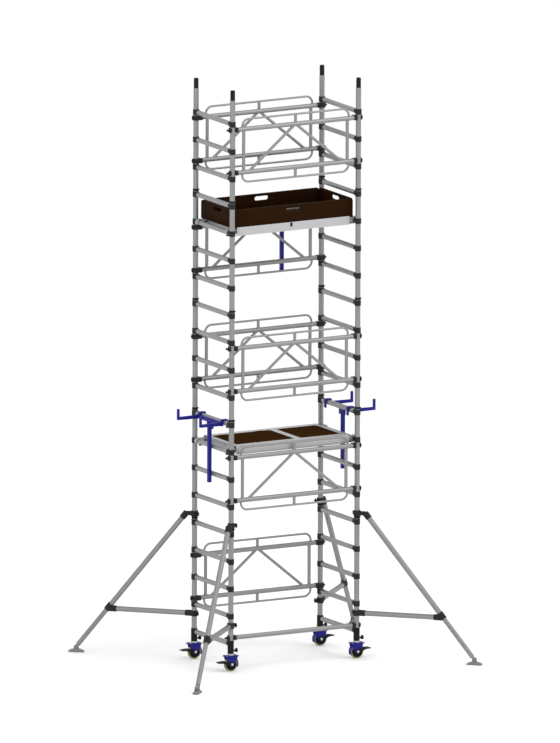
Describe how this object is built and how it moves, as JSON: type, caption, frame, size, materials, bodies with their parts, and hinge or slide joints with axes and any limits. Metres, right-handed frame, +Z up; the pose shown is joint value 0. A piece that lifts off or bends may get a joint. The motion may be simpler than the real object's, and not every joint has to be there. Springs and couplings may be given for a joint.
{
  "type": "mobile tower scaffold",
  "caption": "Mobile access tower with ladder end frames, clip-on braces, two trapdoor decks, toe boards, telescopic stabilisers and braked swivel casters.",
  "frame": {"origin": "centre of the footprint, on the floor", "axes": "+X along the bay, +Y across it away from the front braces, +Z up"},
  "size_m": [2.985, 2.362, 5.31],
  "materials": {
    "upright_tube": "mill finished tube, lightly brushed",
    "rung_tube": "ribbed tube, satin",
    "casting": "dark grey powder coated casting",
    "black_part": "moulded black",
    "zinc": "bright zinc plated steel",
    "brace_tube": "mill finished tube",
    "platform_frame": "extruded, satin",
    "deck_ply": "phenolic faced plywood, fine mesh grip",
    "hook_casting": "cast, tumbled",
    "blue_steel": "deep blue powder coat",
    "wheel_rubber": "cream brown tread round a black centre",
    "stabiliser_tube": "mill finished tube",
    "foot": "grey moulding on a dark sole"
  },
  "bodies": {
    "tower": {"uprights": "upright_tube", "rungs": "rung_tube", "rung_sockets": "casting", "joint_spigots": "black_part", "lock_rings": "black_part", "base_sockets": "black_part", "caster_stems": "zinc", "front_brace_1": "brace_tube", "front_brace_2": "brace_tube", "front_brace_3": "brace_tube", "back_brace_1": "brace_tube", "back_brace_2": "brace_tube", "back_brace_3": "brace_tube", "back_brace_4": "brace_tube", "base_brace": "brace_tube", "brace_hooks": "casting", "lower_platform_frame": "platform_frame", "upper_platform_frame": "platform_frame", "lower_deck_panel": "deck_ply", "upper_deck_panel": "deck_ply", "trapdoor_hinges": "zinc", "platform_hooks": "hook_casting", "platform_rivets": "zinc", "toe_boards": "deck_ply"},
    "stem_locks": {"stem_locks": "black_part"},
    "brace_catches": {"brace_catches": "black_part"},
    "wind_locks": {"wind_locks": "black_part"},
    "lower_trapdoor": {"lower_trapdoor": "deck_ply"},
    "upper_trapdoor": {"upper_trapdoor": "deck_ply"},
    "left_bracket": {"left_bracket": "blue_steel"},
    "right_bracket": {"right_bracket": "blue_steel"},
    "back_bracket": {"back_bracket": "blue_steel"},
    "caster_1_fork": {"caster_1_fork": "blue_steel"},
    "caster_1_wheel": {"caster_1_wheel": "wheel_rubber"},
    "caster_1_pedal": {"caster_1_pedal": "black_part"},
    "caster_2_fork": {"caster_2_fork": "blue_steel"},
    "caster_2_wheel": {"caster_2_wheel": "wheel_rubber"},
    "caster_2_pedal": {"caster_2_pedal": "black_part"},
    "caster_3_fork": {"caster_3_fork": "blue_steel"},
    "caster_3_wheel": {"caster_3_wheel": "wheel_rubber"},
    "caster_3_pedal": {"caster_3_pedal": "black_part"},
    "caster_4_fork": {"caster_4_fork": "blue_steel"},
    "caster_4_wheel": {"caster_4_wheel": "wheel_rubber"},
    "caster_4_pedal": {"caster_4_pedal": "black_part"},
    "stabiliser_1": {"stabiliser_1_clamps": "casting", "stabiliser_1_tubes": "stabiliser_tube"},
    "stabiliser_1_extension": {"stabiliser_1_extension": "stabiliser_tube"},
    "stabiliser_1_foot": {"stabiliser_1_foot": "foot"},
    "stabiliser_2": {"stabiliser_2_clamps": "casting", "stabiliser_2_tubes": "stabiliser_tube"},
    "stabiliser_2_extension": {"stabiliser_2_extension": "stabiliser_tube"},
    "stabiliser_2_foot": {"stabiliser_2_foot": "foot"},
    "stabiliser_3": {"stabiliser_3_clamps": "casting", "stabiliser_3_tubes": "stabiliser_tube"},
    "stabiliser_3_extension": {"stabiliser_3_extension": "stabiliser_tube"},
    "stabiliser_3_foot": {"stabiliser_3_foot": "foot"},
    "stabiliser_4": {"stabiliser_4_clamps": "casting", "stabiliser_4_tubes": "stabiliser_tube"},
    "stabiliser_4_extension": {"stabiliser_4_extension": "stabiliser_tube"},
    "stabiliser_4_foot": {"stabiliser_4_foot": "foot"}
  },
  "joints": [
    {"name": "stem_lock_release", "type": "slide", "parent": "tower", "child": "stem_locks", "axis": [1, 0, 0], "range_m": [0, 0.006]},
    {"name": "brace_catch_release", "type": "slide", "parent": "tower", "child": "brace_catches", "axis": [0, 0, 1], "range_m": [0, 0.006]},
    {"name": "wind_lock_release", "type": "slide", "parent": "tower", "child": "wind_locks", "axis": [0, 0, -1], "range_m": [0, 0.012]},
    {"name": "lower_trapdoor_hinge", "type": "hinge", "parent": "tower", "child": "lower_trapdoor", "pos_m": [-0.24, 0.2295, 2.0474], "axis": [-1, 0, 0], "range_deg": [0, 95]},
    {"name": "upper_trapdoor_hinge", "type": "hinge", "parent": "tower", "child": "upper_trapdoor", "pos_m": [-0.24, 0.2295, 4.0474], "axis": [-1, 0, 0], "range_deg": [0, 95]},
    {"name": "left_bracket_lift", "type": "slide", "parent": "tower", "child": "left_bracket", "axis": [0, 0, 1], "range_m": [0, 0.1]},
    {"name": "right_bracket_lift", "type": "slide", "parent": "tower", "child": "right_bracket", "axis": [0, 0, 1], "range_m": [0, 0.1]},
    {"name": "back_bracket_lift", "type": "slide", "parent": "tower", "child": "back_bracket", "axis": [0, 0, 1], "range_m": [0, 0.1]},
    {"name": "caster_1_swivel", "type": "hinge", "parent": "tower", "child": "caster_1_fork", "pos_m": [-0.6475, -0.336, 0.14], "axis": [0, 0, 1], "continuous": true},
    {"name": "caster_1_roll", "type": "hinge", "parent": "caster_1_fork", "child": "caster_1_wheel", "pos_m": [-0.6475, -0.336, 0.064], "axis": [0, 1, 0], "continuous": true},
    {"name": "caster_1_brake", "type": "hinge", "parent": "caster_1_fork", "child": "caster_1_pedal", "pos_m": [-0.6475, -0.336, 0.064], "axis": [0, -1, 0], "range_deg": [0, 12]},
    {"name": "caster_2_swivel", "type": "hinge", "parent": "tower", "child": "caster_2_fork", "pos_m": [0.6475, -0.336, 0.14], "axis": [0, 0, 1], "continuous": true},
    {"name": "caster_2_roll", "type": "hinge", "parent": "caster_2_fork", "child": "caster_2_wheel", "pos_m": [0.6475, -0.336, 0.064], "axis": [0, 1, 0], "continuous": true},
    {"name": "caster_2_brake", "type": "hinge", "parent": "caster_2_fork", "child": "caster_2_pedal", "pos_m": [0.6475, -0.336, 0.064], "axis": [0, 1, 0], "range_deg": [0, 12]},
    {"name": "caster_3_swivel", "type": "hinge", "parent": "tower", "child": "caster_3_fork", "pos_m": [0.6475, 0.336, 0.14], "axis": [0, 0, 1], "continuous": true},
    {"name": "caster_3_roll", "type": "hinge", "parent": "caster_3_fork", "child": "caster_3_wheel", "pos_m": [0.6475, 0.336, 0.064], "axis": [0, 1, 0], "continuous": true},
    {"name": "caster_3_brake", "type": "hinge", "parent": "caster_3_fork", "child": "caster_3_pedal", "pos_m": [0.6475, 0.336, 0.064], "axis": [0, 1, 0], "range_deg": [0, 12]},
    {"name": "caster_4_swivel", "type": "hinge", "parent": "tower", "child": "caster_4_fork", "pos_m": [-0.6475, 0.336, 0.14], "axis": [0, 0, 1], "continuous": true},
    {"name": "caster_4_roll", "type": "hinge", "parent": "caster_4_fork", "child": "caster_4_wheel", "pos_m": [-0.6475, 0.336, 0.064], "axis": [0, 1, 0], "continuous": true},
    {"name": "caster_4_brake", "type": "hinge", "parent": "caster_4_fork", "child": "caster_4_pedal", "pos_m": [-0.6475, 0.336, 0.064], "axis": [0, -1, 0], "range_deg": [0, 12]},
    {"name": "stabiliser_1_swing", "type": "hinge", "parent": "tower", "child": "stabiliser_1", "pos_m": [-0.6475, -0.336, 0.415], "axis": [0, 0, 1], "range_deg": [-40, 40]},
    {"name": "stabiliser_1_reach", "type": "slide", "parent": "stabiliser_1", "child": "stabiliser_1_extension", "axis": [-0.4409, -0.4409, -0.7818], "range_m": [-0.3, 0.2]},
    {"name": "stabiliser_1_foot_tilt", "type": "hinge", "parent": "stabiliser_1_extension", "child": "stabiliser_1_foot", "pos_m": [-1.42532, -1.11382, 0.048], "axis": [0.7071, -0.7071, 0], "range_deg": [-20, 20]},
    {"name": "stabiliser_2_swing", "type": "hinge", "parent": "tower", "child": "stabiliser_2", "pos_m": [0.6475, -0.336, 0.415], "axis": [0, 0, 1], "range_deg": [-40, 40]},
    {"name": "stabiliser_2_reach", "type": "slide", "parent": "stabiliser_2", "child": "stabiliser_2_extension", "axis": [0.4409, -0.4409, -0.7818], "range_m": [-0.3, 0.2]},
    {"name": "stabiliser_2_foot_tilt", "type": "hinge", "parent": "stabiliser_2_extension", "child": "stabiliser_2_foot", "pos_m": [1.42532, -1.11382, 0.048], "axis": [0.7071, 0.7071, 0], "range_deg": [-20, 20]},
    {"name": "stabiliser_3_swing", "type": "hinge", "parent": "tower", "child": "stabiliser_3", "pos_m": [0.6475, 0.336, 0.415], "axis": [0, 0, 1], "range_deg": [-40, 40]},
    {"name": "stabiliser_3_reach", "type": "slide", "parent": "stabiliser_3", "child": "stabiliser_3_extension", "axis": [0.4409, 0.4409, -0.7818], "range_m": [-0.3, 0.2]},
    {"name": "stabiliser_3_foot_tilt", "type": "hinge", "parent": "stabiliser_3_extension", "child": "stabiliser_3_foot", "pos_m": [1.42532, 1.11382, 0.048], "axis": [-0.7071, 0.7071, 0], "range_deg": [-20, 20]},
    {"name": "stabiliser_4_swing", "type": "hinge", "parent": "tower", "child": "stabiliser_4", "pos_m": [-0.6475, 0.336, 0.415], "axis": [0, 0, 1], "range_deg": [-40, 40]},
    {"name": "stabiliser_4_reach", "type": "slide", "parent": "stabiliser_4", "child": "stabiliser_4_extension", "axis": [-0.4409, 0.4409, -0.7818], "range_m": [-0.3, 0.2]},
    {"name": "stabiliser_4_foot_tilt", "type": "hinge", "parent": "stabiliser_4_extension", "child": "stabiliser_4_foot", "pos_m": [-1.42532, 1.11382, 0.048], "axis": [-0.7071, -0.7071, 0], "range_deg": [-20, 20]}
  ]
}
